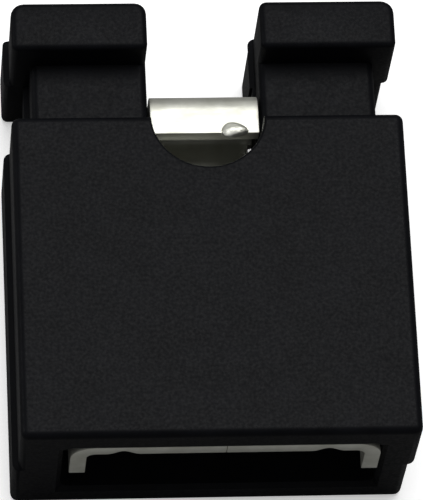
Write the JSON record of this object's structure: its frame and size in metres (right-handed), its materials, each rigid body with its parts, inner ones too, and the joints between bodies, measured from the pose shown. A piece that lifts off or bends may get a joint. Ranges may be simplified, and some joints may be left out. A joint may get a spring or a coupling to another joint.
{
  "type": "jumper shunt",
  "caption": "Open-top jumper shunt: a black moulded housing with grip ears around a folded, tin-plated contact that bridges neighbouring header pins.",
  "frame": {"origin": "point below the middle of the housing on the surface it lies on, midway between the pins", "axes": "+X across the pins, +Y from the pin entry to the grip ears, +Z out of the front face; the shunt lies on its back"},
  "size_m": [0.0051, 0.006, 0.0022],
  "materials": {
    "housing_black": "finely matt moulded thermoplastic with softened edges",
    "contact_tin": "bright tin plating over spring bronze strip"
  },
  "bodies": {
    "root": {"housing": "housing_black", "contact": "contact_tin"}
  },
  "joints": []
}
